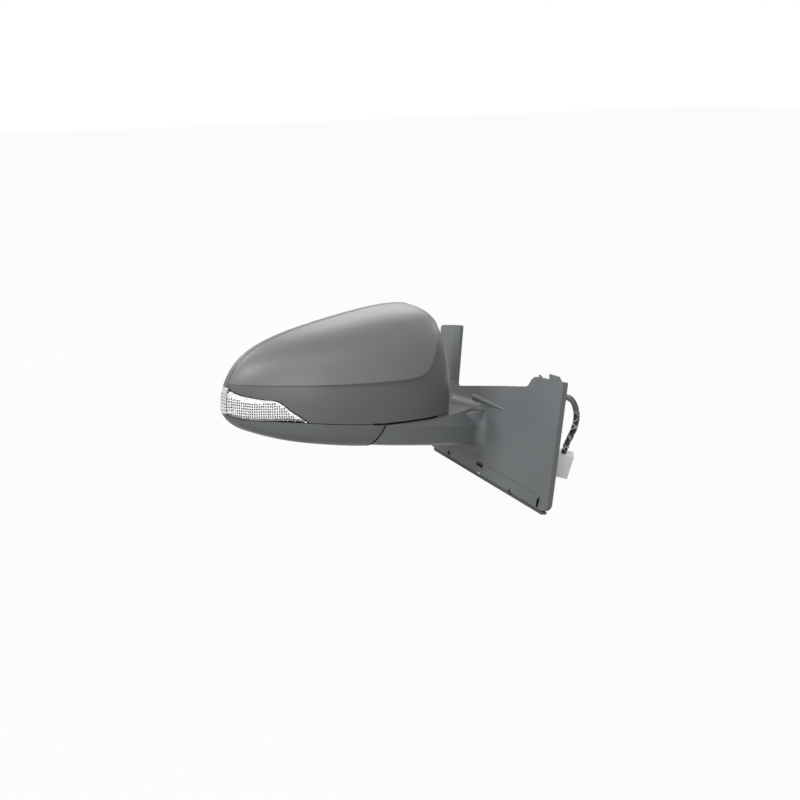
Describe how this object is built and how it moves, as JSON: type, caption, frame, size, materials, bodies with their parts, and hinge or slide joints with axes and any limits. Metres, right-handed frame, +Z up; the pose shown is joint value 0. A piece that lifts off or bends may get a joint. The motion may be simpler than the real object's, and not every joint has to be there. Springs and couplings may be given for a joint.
{
  "type": "car door mirror",
  "caption": "Powered door mirror for the right side of a compact car: folding head with cap, turn lens and heated glass, on a sail base with studs and a plugged cable.",
  "frame": {"origin": "centre of the three-stud circle in the door seat plane", "axes": "+X inboard to the car, +Y to the rear of the car (the glass faces +Y), +Z up; the seat plane leans 9.2 degrees about Y"},
  "size_m": [0.3436, 0.2277, 0.209],
  "materials": {
    "base_plastic": "textured",
    "cast_alloy": "as cast",
    "steel": "zinc plated",
    "seal_rubber": "matte",
    "black_plastic": "textured",
    "cap_primer": "satin primer",
    "clear_lens": "clear",
    "reflector": "metallised",
    "board": "lacquered",
    "motor_can": "satin",
    "white_nylon": "natural",
    "heater": "film",
    "mirror_face": "polished",
    "cable_tape": "cloth tape",
    "pin_brass": "tinned"
  },
  "bodies": {
    "base": {"base_shell": "base_plastic", "base_frame": "cast_alloy", "pivot_post": "steel", "spring_clip": "steel", "detent_spring": "steel", "door_stud_1": "steel", "door_stud_2": "steel", "door_stud_3": "steel", "door_gasket": "seal_rubber", "belt_seal": "seal_rubber", "cable_grommet": "seal_rubber", "trim_clip_1": "black_plastic", "trim_clip_2": "black_plastic", "door_cable": "cable_tape", "plug_housing": "white_nylon", "plug_pins": "pin_brass"},
    "head": {"skull_cap": "cap_primer", "lower_cover": "black_plastic", "visor_housing": "black_plastic", "turn_lens": "clear_lens", "turn_reflector": "reflector", "turn_board": "board", "head_frame": "black_plastic", "fold_motor": "motor_can", "adjuster_case": "black_plastic", "visor_screw_1": "steel", "visor_screw_2": "steel", "visor_screw_3": "steel"},
    "tilt_ring": {"gimbal_ring": "white_nylon"},
    "glass": {"glass_carrier": "black_plastic", "heater_pad": "heater", "mirror_glass": "mirror_face"},
    "tilt_drive": {"tilt_jack": "white_nylon"},
    "pan_drive": {"pan_jack": "white_nylon"}
  },
  "joints": [
    {"name": "fold", "type": "hinge", "parent": "base", "child": "head", "pos_m": [-0.095, 0.052, 0.0369], "axis": [0, 0, 1], "range_deg": [-65, 60]},
    {"name": "glass_tilt", "type": "hinge", "parent": "head", "child": "tilt_ring", "pos_m": [-0.166, 0.084, 0.088], "axis": [1, 0, 0], "range_deg": [-7, 7]},
    {"name": "glass_pan", "type": "hinge", "parent": "tilt_ring", "child": "glass", "pos_m": [-0.166, 0.084, 0.088], "axis": [0, 0, 1], "range_deg": [-7, 7]},
    {"name": "tilt_drive_slide", "type": "slide", "parent": "head", "child": "tilt_drive", "axis": [0, 1, 0], "range_m": [-0.0033, 0.0033]},
    {"name": "pan_drive_slide", "type": "slide", "parent": "head", "child": "pan_drive", "axis": [0, 1, 0], "range_m": [-0.0033, 0.0033]}
  ],
  "couplings": [
    {"joint": "tilt_drive_slide", "follows": "glass_tilt", "m_per_rad": -0.026},
    {"joint": "pan_drive_slide", "follows": "glass_pan", "m_per_rad": 0.026}
  ]
}
